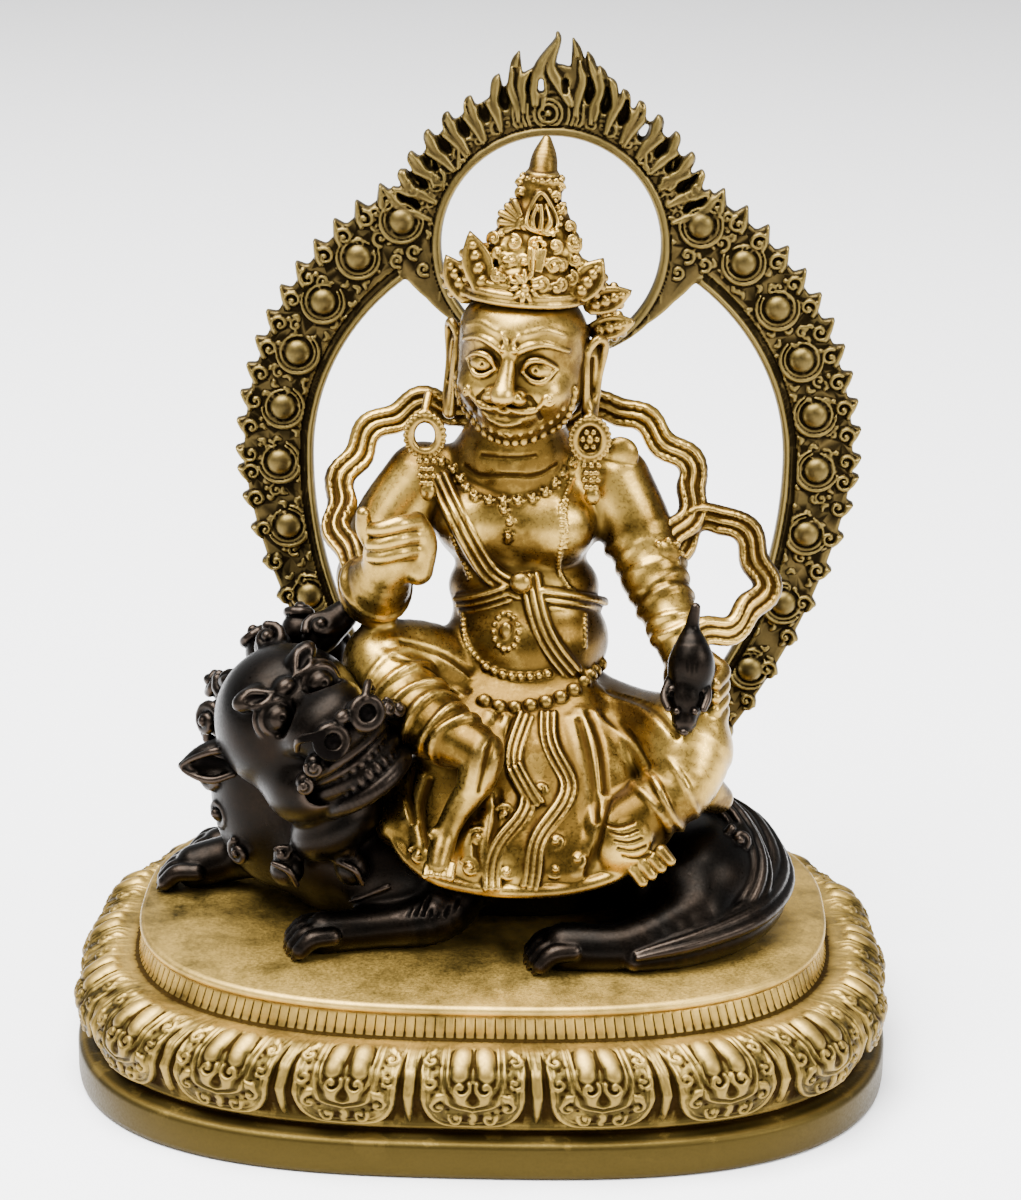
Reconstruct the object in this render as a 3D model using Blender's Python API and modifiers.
"""Kubera seated on a snow lion, with a flaming aureole, on an oval lotus base.

Five separate castings: lotus base, aureole, snow lion, seated figure with its scarf, and mongoose.
Metres, +Z up. The origin is the centre of the base's underside, and -Y is the front.
Sizes below are in millimetres and are multiplied by MM where they reach Blender.
"""

import math

import bmesh
import bpy
from mathutils import Euler, Matrix, Vector

MM = 0.001

# Lotus base: an oval plinth, a ring of petals, a waist and a flat top plate
BASE_WIDTH = 270.6
BASE_DEPTH = 218.0
BASE_HEIGHT = 49.0
BASE_SQUARENESS = 2.85
TOP_SQUARENESS = 2.66
TOP_INSET = 21.5
PLINTH_HEIGHT = 12.0
GROOVE_DEPTH = 7.0
PETAL_TOP = 37.0
PETAL_INSET = 0.6
PETAL_COUNT = 20
PETAL_STEPS = 6
PETAL_RELIEF = 4.0
RIM_HEIGHT = 5.5
BASE_SHARE_KEPT = 0.7

# Castings that rest on each other are kept apart by this much
SEAT_GAP = 0.3

# Aureole: an egg-shaped band, with a round nimbus set into its top
AUREOLE_OFFSET = 19.0
AUREOLE_PLANE = 75.0
AUREOLE_HEIGHT = 281.0
AUREOLE_WIDTH = 218.0
BAND_THICKNESS = 5.0
BAND_CENTRE = 134.0
BAND_RISE = 111.0
BAND_DROP = 155.0
BAND_DROP_SQUARENESS = 1.55
BAND_WIDTH = 27.5
OPENING_RISE = 79.0
OPENING_DROP = 116.0
RIM_WIDTH = 3.0
RIM_RELIEF = 1.0
LOBE_COUNT = 26
LOBE_DEPTH = 3.0
BOSS_RADIUS = 5.4
BOSS_COUNT = 11
BOSS_START_DEG = 33.0
BOSS_END_DEG = 150.0
NIMBUS_CENTRE = 209.0
NIMBUS_THICKNESS = 6.0
NIMBUS_INNER_RADIUS = 37.3
NIMBUS_BODY_RADIUS = 51.0
NIMBUS_LOW_RADIUS = 43.0
AUREOLE_SHARE_KEPT = 0.82
FLAMES_A_SIDE = 11
FLAME_PITCH_DEG = 4.7
FLAME_PITCH_GAIN_DEG = 0.17
FLAME_RADIUS = 57.0
FLAME_PEAK_WIDTH_DEG = 14.5

# Free forms keep their pose as points in millimetres above the base's top, for a figure this tall
FIGURE_HEIGHT = 256.0
MODELLED_FIGURE_HEIGHT = 256.0
LION_LENGTH = 218.0
MODELLED_LION_LENGTH = 218.0

FIGURE_VOXEL = 1.3
LION_VOXEL = 1.7
MONGOOSE_VOXEL = 0.9
FIGURE_TRIANGLES = 2300
LION_TRIANGLES = 1250
MONGOOSE_TRIANGLES = 170


def clear_scene():
    """Remove whatever the open file holds."""
    for obj in list(bpy.data.objects):
        bpy.data.objects.remove(obj)


def new_collection(name):
    made = bpy.data.collections.new(name)
    bpy.context.scene.collection.children.link(made)
    return made


def metal(name, colour, roughness):
    """A metallic Principled material with one colour."""
    made = bpy.data.materials.new(name)
    made.use_nodes = True
    shader = made.node_tree.nodes["Principled BSDF"]
    shader.inputs["Base Color"].default_value = (*colour, 1.0)
    shader.inputs["Metallic"].default_value = 1.0
    shader.inputs["Roughness"].default_value = roughness
    return made


def add_object(name, mesh, collection, material=None):
    obj = bpy.data.objects.new(name, mesh)
    collection.objects.link(obj)
    if material is not None:
        mesh.materials.clear()
        mesh.materials.append(material)
    return obj


def evaluated_mesh(obj):
    """The object's mesh with its modifiers applied."""
    bpy.context.view_layer.update()
    graph = bpy.context.evaluated_depsgraph_get()
    return bpy.data.meshes.new_from_object(obj.evaluated_get(graph), depsgraph=graph)


def hide_cutter(obj):
    obj.hide_render = True
    obj.display_type = "WIRE"
    return obj


def boolean(obj, other, operation):
    modifier = obj.modifiers.new(operation.title(), "BOOLEAN")
    modifier.operation = operation
    modifier.object = other
    modifier.solver = "EXACT"
    return modifier


def shade(mesh, sharp_deg=35.0):
    mesh.shade_smooth()
    mesh.set_sharp_from_angle(angle=math.radians(sharp_deg))


def oval(half_width, half_depth, squareness, share):
    """A point on a superellipse at this share of a turn, counted from +X."""
    angle = 2.0 * math.pi * share
    c, s = math.cos(angle), math.sin(angle)
    x = half_width * math.copysign(abs(c) ** (2.0 / squareness), c)
    y = half_depth * math.copysign(abs(s) ** (2.0 / squareness), s)
    return x, y


def even_shares(half_width, half_depth, squareness, count, fine=2880):
    """Shares of a turn that are evenly spaced along the oval's edge."""
    points = [Vector(oval(half_width, half_depth, squareness, i / fine)) for i in range(fine + 1)]
    lengths = [0.0]
    for before, after in zip(points, points[1:]):
        lengths.append(lengths[-1] + (after - before).length)
    shares = []
    index = 0
    for step in range(count):
        target = lengths[-1] * step / count
        while lengths[index + 1] < target:
            index += 1
        span = lengths[index + 1] - lengths[index]
        shares.append((index + (target - lengths[index]) / span) / fine)
    return shares


class Clay:
    """Overlapping balls and limbs that are cast into one closed form."""

    def __init__(self, scale, lift):
        self.mesh = bmesh.new()
        self.scale = scale
        self.lift = lift

    def place(self, point):
        return Vector((point[0] * self.scale, point[1] * self.scale, point[2] * self.scale + self.lift)) * MM

    def ball(self, centre, radii, turn=(0.0, 0.0, 0.0)):
        """An ellipsoid; a single radius makes a sphere, and turn is in degrees."""
        if not isinstance(radii, tuple):
            radii = (radii,) * 3
        size = Matrix.Diagonal((*[r * self.scale * MM for r in radii], 1.0))
        spin = Euler([math.radians(a) for a in turn]).to_matrix().to_4x4()
        where = Matrix.Translation(self.place(centre))
        bmesh.ops.create_uvsphere(self.mesh, u_segments=20, v_segments=12, radius=1.0, matrix=where @ spin @ size)

    def mirrored_balls(self, middle_x, centre, radii):
        for side in (-1.0, 1.0):
            self.ball((middle_x + side * (centre[0] - middle_x), centre[1], centre[2]), radii)

    def limb(self, stations):
        """A round limb through stations of (x, y, z, radius)."""
        curve = bpy.data.curves.new("limb", "CURVE")
        curve.dimensions = "3D"
        curve.bevel_depth = MM
        curve.bevel_resolution = 3
        curve.resolution_u = 5
        curve.use_fill_caps = True
        spline = curve.splines.new("BEZIER")
        spline.bezier_points.add(len(stations) - 1)
        for knot, station in zip(spline.bezier_points, stations):
            knot.co = self.place(station[:3])
            knot.radius = station[3] * self.scale
            knot.handle_left_type = "AUTO"
            knot.handle_right_type = "AUTO"
        holder = bpy.data.objects.new("limb", curve)
        bpy.context.scene.collection.objects.link(holder)
        tube = evaluated_mesh(holder)
        self.mesh.from_mesh(tube)
        bpy.data.objects.remove(holder)
        bpy.data.meshes.remove(tube)
        for end in (stations[0], stations[-1]):
            self.ball(end[:3], end[3])

    def cast(self, name, collection, material, voxel, smoothing, triangles):
        """Melt the clay together, smooth it and thin it to about this many triangles."""
        bmesh.ops.remove_doubles(self.mesh, verts=self.mesh.verts, dist=1e-7)
        mesh = bpy.data.meshes.new(name)
        self.mesh.to_mesh(mesh)
        self.mesh.free()
        rough = add_object(name + "_clay", mesh, collection)
        melt = rough.modifiers.new("Melt", "REMESH")
        melt.mode = "VOXEL"
        melt.voxel_size = voxel * MM
        soften = rough.modifiers.new("Soften", "SMOOTH")
        soften.factor = 0.5
        soften.iterations = smoothing
        melted = evaluated_mesh(rough)
        bpy.data.objects.remove(rough)
        keep_largest_piece(melted)
        made = add_object(name, melted, collection, material)
        thin = made.modifiers.new("Thin", "DECIMATE")
        thin.ratio = min(1.0, triangles / (2.0 * len(melted.polygons)))
        finished = evaluated_mesh(made)
        made.modifiers.clear()
        made.data = finished
        bpy.data.meshes.remove(melted)
        return made


def keep_largest_piece(mesh):
    """Drop stray shells, such as a closed pocket inside the form."""
    work = bmesh.new()
    work.from_mesh(mesh)
    unseen = set(work.verts)
    pieces = []
    while unseen:
        stack = [unseen.pop()]
        piece = []
        while stack:
            vert = stack.pop()
            piece.append(vert)
            for edge in vert.link_edges:
                other = edge.other_vert(vert)
                if other in unseen:
                    unseen.remove(other)
                    stack.append(other)
        pieces.append(piece)
    pieces.sort(key=len, reverse=True)
    for piece in pieces[1:]:
        bmesh.ops.delete(work, geom=piece, context="VERTS")
    work.to_mesh(mesh)
    work.free()


def base_sections():
    """Rows of (inset from the foot's edge, height, share of the petals' relief)."""
    rows = [
        (1.0, 0.0, 0.0),
        (0.0, 1.5, 0.0),
        (0.8, PLINTH_HEIGHT - 1.5, 0.0),
        (2.5, PLINTH_HEIGHT, 0.0),
        (GROOVE_DEPTH, PLINTH_HEIGHT + 1.2, 0.0),
    ]
    petal_low = PLINTH_HEIGHT + 1.2
    petal_height = PETAL_TOP - petal_low
    waist = TOP_INSET - 0.5
    for share, slope, relief in ((0.08, 0.3, 0.5), (0.3, 0.1, 1.0), (0.58, 0.0, 1.0), (0.84, 0.2, 0.9)):
        inset = PETAL_INSET + slope * (waist - PETAL_INSET)
        rows.append((inset, petal_low + petal_height * share, relief))
    rows += [
        (waist - 9.0, PETAL_TOP - 1.2, 0.5),
        (waist, PETAL_TOP, 0.0),
        (waist, BASE_HEIGHT - RIM_HEIGHT, 0.0),
        (waist - 1.5, BASE_HEIGHT - RIM_HEIGHT + 1.2, 0.0),
        (waist - 1.2, BASE_HEIGHT - 1.6, 0.0),
        (TOP_INSET, BASE_HEIGHT, 0.0),
    ]
    return rows


def petal_swell(across, up):
    """How proud the surface stands: 0 on a petal and -1 in the gap between two rounded tongues."""
    edge = math.sqrt(max(0.0, 1.0 - (1.0 - min(1.0, up / 0.45)) ** 2))
    if across < edge - 0.01:
        return 0.0
    return -1.0 if up < 0.4 else -0.6


def lotus_base(collection, material):
    """The lotus throne as one closed solid: an oval loft with tongue-shaped petals."""
    count = PETAL_COUNT * PETAL_STEPS
    half_width, half_depth = BASE_WIDTH / 2.0, BASE_DEPTH / 2.0
    shares = even_shares(half_width, half_depth, BASE_SQUARENESS, count)
    work = bmesh.new()
    rings = []
    petal_low = PLINTH_HEIGHT + 1.2
    for inset, height, relief in base_sections():
        ring = []
        squareness = BASE_SQUARENESS + (TOP_SQUARENESS - BASE_SQUARENESS) * height / BASE_HEIGHT
        for step, share in enumerate(shares):
            x, y = oval(half_width - inset, half_depth - inset, squareness, share)
            outward = Vector((x / half_width**2, y / half_depth**2)).normalized()
            if relief:
                across = abs(2.0 * ((step + PETAL_STEPS / 2.0) % PETAL_STEPS) / PETAL_STEPS - 1.0)
                swell = petal_swell(across, (height - petal_low) / (PETAL_TOP - petal_low))
                push = PETAL_RELIEF * relief * swell
                x += outward.x * push
                y += outward.y * push
            ring.append(work.verts.new((x * MM, y * MM, height * MM)))
        rings.append(ring)
    for low, high in zip(rings, rings[1:]):
        for i in range(count):
            j = (i + 1) % count
            work.faces.new((low[i], low[j], high[j], high[i]))
    work.faces.new(list(reversed(rings[0])))
    work.faces.new(rings[-1])
    bmesh.ops.triangulate(work, faces=work.faces)
    mesh = bpy.data.meshes.new("lotus_base")
    work.to_mesh(mesh)
    work.free()
    base = add_object("lotus_base", mesh, collection, material)
    thin = base.modifiers.new("Thin", "DECIMATE")
    thin.ratio = BASE_SHARE_KEPT
    base.data = evaluated_mesh(base)
    base.modifiers.clear()
    shade(base.data)
    return base


def egg(angle_deg, half_width, rise, drop, drop_squareness=2.0):
    """A point on an egg-shaped edge about the band's centre; the angle is counted from the top."""
    angle = math.radians(angle_deg)
    c, s = math.cos(angle), math.sin(angle)
    if c > 0.0:
        return half_width * s, BAND_CENTRE + rise * c
    power = 2.0 / drop_squareness
    return half_width * math.copysign(abs(s) ** power, s), BAND_CENTRE - drop * abs(c) ** power


def plate(name, outlines, thickness, collection, forward=0.0):
    """A flat plate standing near the aureole's plane, from closed outlines of (x, z)."""
    curve = bpy.data.curves.new(name, "CURVE")
    curve.dimensions = "2D"
    curve.fill_mode = "BOTH"
    curve.extrude = thickness / 2.0 * MM
    for outline in outlines:
        spline = curve.splines.new("POLY")
        spline.points.add(len(outline) - 1)
        spline.use_cyclic_u = True
        for point, (x, z) in zip(spline.points, outline):
            point.co = (x * MM, z * MM, 0.0, 1.0)
    flat = bpy.data.objects.new(name, curve)
    flat.rotation_euler = (math.radians(90.0), 0.0, 0.0)
    flat.location = (AUREOLE_OFFSET * MM, (AUREOLE_PLANE - forward) * MM, BASE_HEIGHT * MM)
    collection.objects.link(flat)
    mesh = evaluated_mesh(flat)
    mesh.transform(flat.matrix_world)
    bpy.data.objects.remove(flat)
    work = bmesh.new()
    work.from_mesh(mesh)
    bmesh.ops.remove_doubles(work, verts=work.verts, dist=1e-6)
    bmesh.ops.recalc_face_normals(work, faces=work.faces)
    work.to_mesh(mesh)
    work.free()
    return add_object(name, mesh, collection)


def band_outline():
    """The band's outer edge: small lobes down both sides, to a flat foot on the base."""
    half_width = AUREOLE_WIDTH / 2.0
    reach = (BAND_CENTRE - SEAT_GAP) / BAND_DROP
    foot_deg = 180.0 - math.degrees(math.acos(reach ** (BAND_DROP_SQUARENESS / 2.0)))
    right = []
    for lobe in range(LOBE_COUNT):
        for within, depth in ((0.0, LOBE_DEPTH), (0.25, 0.3), (0.72, 0.3)):
            angle = foot_deg * (lobe + within) / LOBE_COUNT
            rise, drop = BAND_RISE - depth, BAND_DROP - depth
            right.append(egg(angle, half_width - depth, rise, drop, BAND_DROP_SQUARENESS))
    right = [point for point in right if point[1] > SEAT_GAP + 0.5]
    x, _ = egg(foot_deg, half_width, BAND_RISE, BAND_DROP, BAND_DROP_SQUARENESS)
    right.append((x, SEAT_GAP))
    left = [(-x, z) for x, z in reversed(right[1:])]
    return right + left


def opening_half_width():
    return AUREOLE_WIDTH / 2.0 - BAND_WIDTH


def opening_outline(growth, steps):
    half_width, rise, drop = opening_half_width() + growth, OPENING_RISE + growth, OPENING_DROP + growth
    return [egg(360.0 * i / steps, half_width, rise, drop) for i in range(steps)]


def ring_outline(radius, count):
    turn = 2.0 * math.pi / count
    return [(radius * math.sin(i * turn), NIMBUS_CENTRE + radius * math.cos(i * turn)) for i in range(count)]


def flame_tip_radius(angle_deg):
    peak = AUREOLE_HEIGHT - NIMBUS_CENTRE - FLAME_RADIUS
    return FLAME_RADIUS + peak * math.exp(-((angle_deg / FLAME_PEAK_WIDTH_DEG) ** 2))


def flame_angle(number):
    return FLAME_PITCH_DEG * number + FLAME_PITCH_GAIN_DEG * number * number


def nimbus_outline():
    """The nimbus's outer edge: tongues of flame that lean upward, and a plain crescent below."""
    half = []
    for flame in range(1, FLAMES_A_SIDE + 1):
        before, tip = flame_angle(flame - 1), flame_angle(flame)
        pitch = tip - before
        high = flame_tip_radius(tip)
        half.append((before + 0.42 * pitch, 0.5 * (NIMBUS_BODY_RADIUS + flame_tip_radius(before)) + 0.8))
        half.append((tip - 0.34 * pitch, 0.72 * high + 0.28 * NIMBUS_BODY_RADIUS - 0.4))
        half.append((tip, high))
        half.append((tip + 0.2 * pitch, 0.62 * high + 0.38 * NIMBUS_BODY_RADIUS))
    last = half[-1][0]
    steps = 9
    for step in range(1, steps + 1):
        share = step / steps
        radius = NIMBUS_BODY_RADIUS + 0.5 + (NIMBUS_LOW_RADIUS - NIMBUS_BODY_RADIUS - 0.5) * share**0.8
        half.append((last + (180.0 - last) * share, radius))
    points = [(0.0, AUREOLE_HEIGHT)]
    for sign, order in ((1.0, half), (-1.0, list(reversed(half[:-1])))):
        for angle_deg, radius in order:
            angle = math.radians(angle_deg)
            points.append((sign * radius * math.sin(angle), NIMBUS_CENTRE + radius * math.cos(angle)))
    return points


def boss_places():
    """Centres of the pearl bosses, down both sides of the band."""
    half_width = (AUREOLE_WIDTH / 2.0 - LOBE_DEPTH + opening_half_width() + RIM_WIDTH) / 2.0 - 1.0
    places = []
    for side in (-1.0, 1.0):
        for boss in range(BOSS_COUNT):
            angle = BOSS_START_DEG + (BOSS_END_DEG - BOSS_START_DEG) * boss / (BOSS_COUNT - 1)
            x, z = egg(angle, half_width, (BAND_RISE + OPENING_RISE) / 2.0 + 4.0, 136.0, 1.75)
            places.append((side * x, z))
    return places


def bosses(collection):
    """Half-sunk pearls, gathered in one mesh for the union."""
    work = bmesh.new()
    front = AUREOLE_PLANE - BAND_THICKNESS / 2.0
    quarter_turn = Matrix.Rotation(math.radians(90.0), 4, "X")
    for x, z in boss_places():
        centre = Matrix.Translation(Vector((AUREOLE_OFFSET + x, front + 0.6, BASE_HEIGHT + z)) * MM)
        squash = Matrix.Diagonal((1.0, 1.0, 0.8, 1.0))
        size = BOSS_RADIUS * MM
        place = centre @ quarter_turn @ squash
        bmesh.ops.create_uvsphere(work, u_segments=8, v_segments=4, radius=size, matrix=place)
    mesh = bpy.data.meshes.new("bosses")
    work.to_mesh(mesh)
    work.free()
    return add_object("bosses", mesh, collection)


def aureole(collection, cutters, material):
    """Band, nimbus, raised rims and pearls as one plate, with the nimbus's round hole through it."""
    band = plate("aureole", [band_outline(), opening_outline(0.0, 36)], BAND_THICKNESS, collection)
    rim_rings = [opening_outline(RIM_WIDTH, 36), opening_outline(-0.2, 36)]
    rim = plate("rim", rim_rings, BAND_THICKNESS - 1.0, cutters, RIM_RELIEF + 0.5)
    nimbus = plate("nimbus", [nimbus_outline()], NIMBUS_THICKNESS, cutters)
    collar_rings = [ring_outline(NIMBUS_INNER_RADIUS + RIM_WIDTH, 32), ring_outline(NIMBUS_INNER_RADIUS - 3.0, 32)]
    collar = plate("collar", collar_rings, NIMBUS_THICKNESS - 1.0, cutters, RIM_RELIEF + 0.5)
    hole = plate("nimbus_hole", [ring_outline(NIMBUS_INNER_RADIUS, 32)], 3.0 * NIMBUS_THICKNESS, cutters)
    pearls = bosses(cutters)
    for other, operation in (
        (rim, "UNION"),
        (nimbus, "UNION"),
        (collar, "UNION"),
        (hole, "DIFFERENCE"),
        (pearls, "UNION"),
    ):
        boolean(band, hide_cutter(other), operation)
        weld = band.modifiers.new("Weld", "WELD")
        weld.merge_threshold = 0.0001
    thin = band.modifiers.new("Thin", "DECIMATE")
    thin.ratio = AUREOLE_SHARE_KEPT
    finished = evaluated_mesh(band)
    band.modifiers.clear()
    band.data = finished
    band.data.materials.clear()
    band.data.materials.append(material)
    shade(band.data)
    return band


def floor_cutter(name, cutters):
    """A block whose top is just over the base's top plate: it cuts a casting's underside flat."""
    block = bmesh.new()
    bmesh.ops.create_cube(block, size=1.0)
    mesh = bpy.data.meshes.new(name)
    block.to_mesh(mesh)
    block.free()
    reach = 2.0 * BASE_WIDTH
    depth = BASE_HEIGHT
    mesh.transform(Matrix.Diagonal((reach * MM, reach * MM, depth * MM, 1.0)))
    mesh.transform(Matrix.Translation((0.0, 0.0, (BASE_HEIGHT + SEAT_GAP - depth / 2.0) * MM)))
    return hide_cutter(add_object(name, mesh, cutters))


def lion_clay():
    """The crouching lion's masses. It faces -X, with its head turned to the viewer and tipped."""
    clay = Clay(LION_LENGTH / MODELLED_LION_LENGTH, BASE_HEIGHT)
    # trunk, chest and haunches
    clay.ball((12.0, 4.0, 22.0), (60.0, 34.0, 27.0))
    clay.ball((-42.0, -6.0, 24.0), (31.0, 29.0, 27.0))
    clay.ball((68.0, -10.0, 15.0), (26.0, 34.0, 20.0))
    clay.ball((66.0, 12.0, 17.0), (25.0, 26.0, 20.0))
    # neck and mane behind the head
    clay.ball((-66.0, -6.0, 42.0), (25.0, 22.0, 36.0))
    # right foreleg, lying along the front edge
    clay.limb([(-8.0, -24.0, 20.0, 14.0), (-14.0, -39.0, 10.0, 9.0), (-34.0, -42.0, 6.5, 6.8), (-51.0, -46.0, 6.0, 7.4)])
    # left foreleg, reaching to the left
    clay.limb([(-62.0, -6.0, 22.0, 13.0), (-82.0, 8.0, 11.0, 8.5), (-99.0, 7.0, 6.5, 8.0)])
    # hind leg, lying along the front edge
    clay.limb([(70.0, -40.0, 12.0, 12.0), (48.0, -53.0, 6.5, 8.0), (27.0, -54.0, 6.0, 8.4)])
    # toes of the three paws that show
    for x, y, dx, dy in ((-59.0, -48.5, 0.8, 4.6), (-108.0, 5.0, 1.5, 4.8), (18.0, -56.0, 1.0, 4.8)):
        for toe in (-1.5, -0.5, 0.5, 1.5):
            clay.ball((x + dx * abs(toe), y + dy * toe, 4.2), (5.4, 2.9, 4.8))
    # tail, swept round the haunch and forward along the base
    clay.limb(
        [
            (76.0, 14.0, 27.0, 8.0),
            (88.0, 4.0, 21.0, 8.5),
            (94.0, -14.0, 11.5, 9.0),
            (86.0, -37.0, 8.0, 8.5),
            (68.0, -52.0, 5.5, 7.0),
            (50.0, -60.0, 4.0, 4.5),
        ]
    )
    clay.limb([(72.0, -2.0, 34.0, 5.0), (84.0, -20.0, 29.0, 5.5), (90.0, -30.0, 14.0, 5.0)])
    # skull, muzzle and jaws: the head's own right side points up and to the right
    lean = (0.0, -35.0, 0.0)
    clay.ball((-60.0, -28.0, 73.5), (25.5, 23.0, 25.5))
    clay.ball((-46.0, -44.0, 77.0), (19.0, 14.0, 11.0), lean)
    clay.ball((-42.0, -38.0, 64.0), (17.0, 14.0, 9.0), lean)
    clay.ball((-58.0, -31.0, 45.0), (19.0, 17.0, 15.0), lean)
    clay.limb([(-66.0, -38.0, 52.0, 8.0), (-50.0, -46.0, 49.0, 7.0), (-37.0, -48.0, 53.0, 6.0), (-27.0, -45.0, 64.0, 5.0)])
    clay.limb([(-64.0, -45.0, 64.0, 4.5), (-54.0, -51.0, 63.0, 4.5), (-41.0, -53.0, 72.0, 4.5), (-30.0, -51.0, 82.0, 4.5)])
    # eyes, nostrils, brow leaves and the bridge of the nose
    for centre, radii in (
        ((-64.0, -46.0, 80.5), 6.0),
        ((-49.5, -46.5, 91.5), 5.6),
        ((-46.0, -57.0, 77.5), 6.0),
        ((-35.5, -55.0, 86.5), 6.0),
        ((-52.0, -48.0, 80.0), 6.0),
    ):
        clay.ball(centre, radii)
    clay.ball((-74.0, -41.0, 87.0), (4.5, 4.0, 9.5), (0.0, 35.0, 0.0))
    clay.ball((-56.5, -37.0, 98.0), (10.0, 4.5, 4.5), (0.0, -12.0, 0.0))
    # ear and curls of the mane
    clay.limb([(-80.0, -27.0, 60.0, 6.5), (-89.0, -29.0, 58.0, 5.5), (-97.0, -30.0, 56.5, 1.6)])
    for centre, radius in (
        ((-80.5, -14.0, 75.0), 8.0),
        ((-68.0, -12.0, 87.0), 7.5),
        ((-84.0, -14.0, 60.0), 8.5),
        ((-82.0, -16.0, 44.0), 8.5),
        ((-76.0, -20.0, 30.0), 8.0),
        ((-50.0, -8.0, 88.0), 9.0),
    ):
        clay.ball(centre, radius)
    # two bells on the chest
    clay.ball((-63.0, -36.0, 24.0), 6.0)
    clay.ball((-42.0, -38.0, 26.0), 6.2)
    return clay


def figure_clay():
    """The seated figure's masses: stout body, crown, both arms, both legs and the skirt."""
    clay = Clay(FIGURE_HEIGHT / MODELLED_FIGURE_HEIGHT, BASE_HEIGHT)
    # trunk, from the seat up
    clay.ball((15.0, 12.0, 64.0), (30.0, 25.0, 17.0))
    clay.ball((13.5, 11.0, 89.0), (27.0, 23.0, 20.0))
    clay.ball((12.0, 15.0, 106.0), (25.0, 19.0, 15.0))
    clay.ball((9.5, 17.0, 129.0), (28.0, 19.0, 20.0))
    clay.ball((-3.5, 5.0, 131.0), (12.0, 10.0, 11.0))
    clay.ball((21.0, 4.0, 131.0), (13.0, 10.0, 12.0))
    clay.ball((9.0, 22.0, 143.0), (33.0, 14.0, 12.0))
    clay.ball((8.5, 18.0, 156.0), (18.5, 15.0, 13.0))
    # head: skull, cheeks, beard, nose, brows, eyes, moustache and ears
    clay.ball((10.7, 15.0, 187.0), (21.5, 20.5, 23.0))
    clay.ball((10.0, 11.0, 176.0), (21.0, 18.5, 14.0))
    clay.ball((7.5, 3.5, 166.5), (12.5, 9.0, 6.0))
    clay.ball((8.5, -8.5, 181.0), (4.6, 4.5, 3.8))
    clay.ball((9.0, -6.0, 186.0), (2.6, 3.6, 7.0))
    for side in (-1.0, 1.0):
        clay.ball((9.5 + side * 9.5, -2.8, 188.0), (4.8, 3.0, 3.0))
        clay.ball((9.5 + side * 9.8, -3.6, 194.0), (7.0, 2.6, 2.0), (0.0, side * -12.0, 0.0))
        clay.ball((9.0 + side * 6.5, -7.0, 173.5), (6.5, 2.6, 2.2), (0.0, side * 10.0, 0.0))
        clay.ball((10.0 + side * 23.5, 15.5, 181.0), (4.0, 4.5, 12.5))
    # crown: band, tall middle spire and leaves at the sides
    clay.ball((12.5, 15.0, 205.5), (20.5, 19.5, 5.0), (0.0, 5.0, 0.0))
    clay.ball((14.5, 3.0, 212.0), (15.5, 9.0, 7.5))
    clay.ball((14.5, 8.0, 219.5), (16.5, 8.5, 9.0))
    clay.ball((14.0, 10.0, 229.0), (13.5, 7.5, 8.5))
    clay.ball((14.0, 12.0, 238.0), (10.0, 6.5, 8.0))
    clay.limb([(14.6, 16.0, 241.0, 7.0), (15.2, 20.0, 249.0, 5.0), (15.4, 22.0, 254.0, 2.2)])
    for foot, tip in (
        ((-2.0, 4.0, 208.0), (-9.0, 7.0, 224.5)),
        ((-8.0, 10.0, 203.0), (-16.5, 12.0, 215.0)),
        ((29.0, 5.0, 207.0), (35.5, 8.0, 217.5)),
        ((33.0, 11.0, 201.0), (44.5, 12.0, 207.0)),
        ((34.0, 17.0, 193.0), (46.0, 16.0, 194.0)),
    ):
        middle = [(a + b) / 2.0 for a, b in zip(foot, tip)]
        clay.limb([(*foot, 4.5), (*middle, 4.5), (*tip, 1.5)])
    # earrings: flat discs with a drop
    for x, z in ((-20.5, 160.0), (33.0, 159.5)):
        clay.ball((x, 5.0, z), (6.5, 2.6, 8.0))
        clay.limb([(x + 1.0, 8.0, z + 12.0, 3.0), (x + 1.0, 6.0, z + 5.0, 3.4)])
        clay.limb([(x + 1.0, 5.0, z - 8.0, 3.6), (x + 3.0, 3.0, z - 17.0, 3.2)])
    # right arm, raised, with its hand held open before the shoulder
    clay.limb([(-22.0, 21.0, 140.0, 13.0), (-33.0, 16.0, 126.0, 12.0), (-38.0, 6.0, 112.0, 11.0)])
    clay.limb([(-38.0, 4.0, 110.5, 11.0), (-36.0, -10.0, 112.0, 11.5), (-32.0, -18.0, 121.0, 8.5)])
    clay.ball((-31.0, -23.0, 130.0), (10.0, 5.5, 9.5), (0.0, -10.0, 0.0))
    clay.limb([(-38.5, -22.0, 134.0, 3.2), (-39.5, -25.0, 140.0, 2.8), (-36.0, -30.0, 143.0, 2.4)])
    clay.limb([(-32.5, -23.0, 137.0, 3.2), (-33.0, -26.0, 143.0, 2.8), (-30.0, -31.0, 144.0, 2.4)])
    clay.limb([(-26.5, -23.0, 135.0, 3.2), (-26.0, -27.0, 141.0, 2.8), (-25.5, -32.0, 140.0, 2.4)])
    clay.limb([(-22.5, -22.0, 127.0, 3.6), (-21.0, -27.0, 132.0, 3.2), (-25.0, -32.0, 134.0, 2.6)])
    # left arm, reaching down to the mongoose
    clay.limb([(41.0, 21.0, 140.0, 13.0), (49.0, 16.0, 126.0, 12.0), (55.0, 9.0, 113.0, 10.5)])
    clay.limb([(55.0, 8.0, 112.0, 10.5), (60.0, -1.0, 102.0, 9.0), (64.0, -11.0, 92.0, 7.0)])
    clay.ball((67.0, -17.0, 86.0), (9.0, 7.0, 9.0))
    for finger in range(3):
        z = 90.0 - 5.0 * finger
        clay.limb([(73.0, -18.0, z, 3.0), (77.0, -24.0, z - 2.0, 2.8), (74.5, -30.0, z - 4.0, 2.6)])
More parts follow.
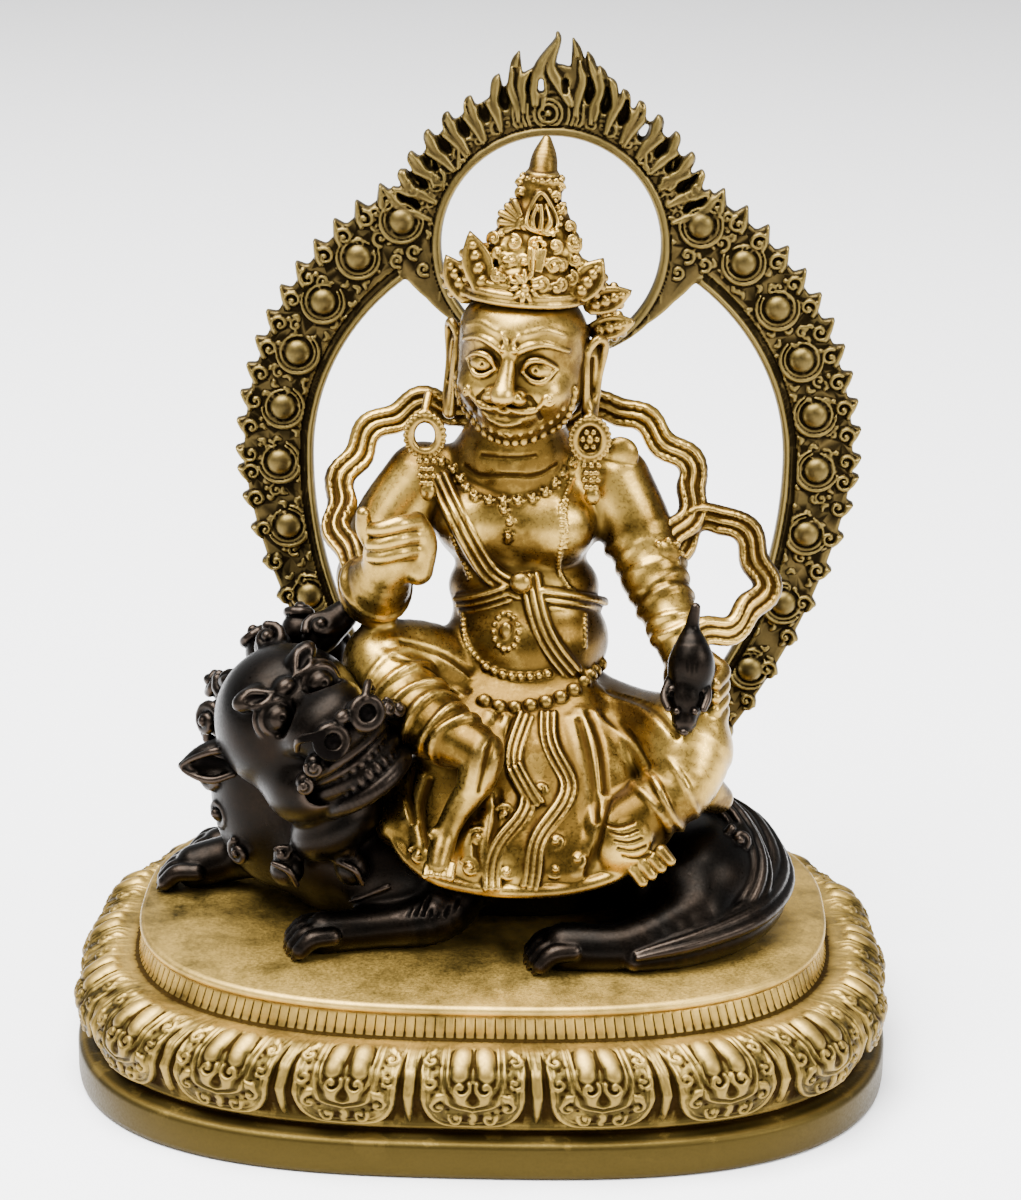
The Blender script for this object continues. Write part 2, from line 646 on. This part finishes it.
    # right leg: thigh, trousered knee, bare calf and foot
    clay.limb([(0.0, 10.0, 68.0, 16.5), (-20.0, -2.0, 82.0, 15.5), (-33.0, -9.0, 87.0, 13.5)])
    clay.limb([(-32.0, -13.0, 84.0, 13.5), (-22.0, -28.0, 76.0, 12.0), (-9.0, -38.0, 71.0, 9.0)])
    clay.limb([(-8.0, -40.0, 69.0, 7.5), (1.0, -44.0, 63.0, 6.8), (-5.0, -47.0, 50.0, 4.4), (-9.5, -50.0, 40.0, 4.2)])
    clay.limb([(-9.5, -51.0, 37.0, 4.5), (-9.0, -55.0, 32.0, 4.6), (-6.0, -57.0, 29.5, 3.4)])
    # left leg: thigh, rounded knee, calf folded under and foot turned up
    clay.limb([(28.0, 12.0, 63.0, 16.0), (48.0, -8.0, 63.0, 15.0), (64.0, -25.0, 66.0, 15.5)])
    clay.limb([(66.0, -28.0, 64.0, 15.0), (62.0, -38.0, 54.0, 11.0), (44.0, -43.0, 43.0, 9.0)])
    clay.ball((47.5, -50.0, 38.5), (9.0, 4.5, 11.0), (0.0, 38.0, 0.0))
    for toe in range(4):
        clay.ball((52.0 + 3.0 * toe, -53.0, 27.5 + 3.2 * toe), (3.8, 3.0, 3.0))
    clay.limb([(70.0, -24.0, 50.0, 8.0), (77.0, -20.0, 45.0, 5.0)])
    # waistband and belt
    clay.ball((14.5, 10.0, 98.0), (27.5, 22.5, 4.5))
    clay.ball((15.0, 10.0, 76.0), (27.5, 24.5, 5.0))
    # skirt over the lion's flank: pleats fan out from the belt to a rolled hem
    hem = (
        (-31.0, -30.0, 50.0),
        (-27.0, -41.0, 36.0),
        (-16.0, -49.0, 28.0),
        (-1.0, -53.0, 25.5),
        (14.0, -54.0, 25.0),
        (29.0, -53.0, 26.0),
        (44.0, -50.0, 30.0),
        (54.0, -46.0, 38.0),
    )
    for number, (x, y, z) in enumerate(hem):
        top_x = -3.0 + 5.0 * number
        clay.limb(
            [
                (top_x, -7.0, 74.0, 6.0),
                (0.6 * top_x + 0.4 * x, -24.0, 61.0, 6.5),
                (0.25 * top_x + 0.75 * x, 0.3 * -31.0 + 0.7 * y + 4.0, 0.6 * 46.0 + 0.4 * z, 6.5),
                (x, y + 6.5, z + 3.5, 7.5),
            ]
        )
    clay.ball((14.0, -8.0, 52.0), (34.0, 24.0, 22.0))
    clay.ball((13.0, -24.0, 42.0), (34.0, 20.0, 13.0))
    clay.ball((13.0, -36.0, 36.0), (36.0, 15.0, 10.5))
    clay.limb([(x, y, z, 3.0) for x, y, z in hem])
    # sash from the left shoulder to the right hip
    clay.limb(
        [
            (-17.0, 6.0, 143.0, 3.6),
            (-8.0, -7.0, 128.0, 3.8),
            (10.0, -7.0, 112.0, 4.0),
            (30.0, -7.0, 95.0, 4.2),
            (36.0, -1.0, 84.0, 4.0),
        ]
    )
    scarf_clay(clay)
    return clay


def scarf_clay(clay):
    """The scarf that floats out behind the shoulders, winds round the left arm and loops away."""
    clay.limb(
        [
            (0.0, 30.0, 158.0, 5.0),
            (-19.0, 30.0, 164.0, 5.4),
            (-33.0, 27.0, 160.0, 5.0),
            (-43.0, 22.0, 151.0, 5.0),
            (-49.0, 12.0, 137.0, 5.2),
            (-47.0, -2.0, 125.0, 5.2),
            (-40.0, -10.0, 117.0, 5.0),
        ]
    )
    clay.limb(
        [
            (20.0, 32.0, 159.0, 5.0),
            (41.0, 32.0, 163.5, 5.4),
            (57.0, 28.0, 154.0, 5.6),
            (68.0, 24.0, 142.0, 5.8),
            (65.0, 16.0, 129.0, 5.6),
            (56.0, 8.0, 120.0, 5.0),
        ]
    )
    clay.limb(
        [
            (60.0, 12.0, 118.0, 5.4),
            (69.0, 18.0, 128.0, 5.6),
            (79.0, 18.0, 129.5, 5.8),
            (88.0, 14.0, 120.0, 6.4),
            (91.0, 8.0, 108.0, 6.6),
            (83.0, 0.0, 99.5, 6.6),
            (70.0, -6.0, 96.0, 5.0),
        ]
    )


def mongoose_clay():
    """The mongoose held head down, with its tail up."""
    clay = Clay(FIGURE_HEIGHT / MODELLED_FIGURE_HEIGHT, BASE_HEIGHT)
    clay.limb([(67.5, -28.0, 113.0, 1.6), (66.5, -28.5, 106.0, 2.6), (66.5, -30.0, 101.0, 5.0)])
    clay.ball((66.5, -32.0, 94.0), (7.6, 7.0, 10.5))
    clay.ball((65.0, -35.0, 84.0), (5.8, 5.8, 8.0))
    clay.ball((64.5, -38.0, 78.0), (4.0, 4.0, 4.5))
    clay.mirrored_balls(65.0, (70.0, -36.0, 88.0), (2.0, 1.8, 2.4))
    return clay


def clearance_copy(source, growth, cutters):
    """A copy of a casting, grown by a little, that cuts its neighbour clear of it."""
    grown = add_object(source.name + "_clearance", source.data.copy(), cutters)
    swell = grown.modifiers.new("Grow", "DISPLACE")
    swell.direction = "NORMAL"
    swell.mid_level = 0.0
    swell.strength = growth * MM
    finished = evaluated_mesh(grown)
    grown.modifiers.clear()
    grown.data = finished
    return hide_cutter(grown)


def bake(obj):
    """Apply the object's modifiers."""
    finished = evaluated_mesh(obj)
    obj.modifiers.clear()
    obj.data = finished
    keep_largest_piece(obj.data)
    shade(obj.data, 50.0)


def main():
    clear_scene()
    statue = new_collection("kubera_statue")
    cutters = new_collection("cutters")
    gilt = metal("gilt_bronze", (0.55, 0.36, 0.10), 0.34)
    old_brass = metal("aureole_brass", (0.30, 0.20, 0.06), 0.45)
    base_brass = metal("base_brass", (0.45, 0.31, 0.09), 0.4)
    dark = metal("dark_bronze", (0.02, 0.017, 0.016), 0.36)

    lotus_base(statue, base_brass)
    aureole(statue, cutters, old_brass)

    lion = lion_clay().cast("snow_lion", statue, dark, LION_VOXEL, 4, LION_TRIANGLES)
    boolean(lion, floor_cutter("lion_floor", cutters), "DIFFERENCE")
    bake(lion)

    mongoose = mongoose_clay().cast("mongoose", statue, dark, MONGOOSE_VOXEL, 3, MONGOOSE_TRIANGLES)
    shade(mongoose.data, 50.0)

    figure = figure_clay().cast("kubera_figure", statue, gilt, FIGURE_VOXEL, 3, FIGURE_TRIANGLES)
    boolean(figure, clearance_copy(lion, 2.0 * SEAT_GAP, cutters), "DIFFERENCE")
    boolean(figure, clearance_copy(mongoose, 2.0 * SEAT_GAP, cutters), "DIFFERENCE")
    bake(figure)


main()
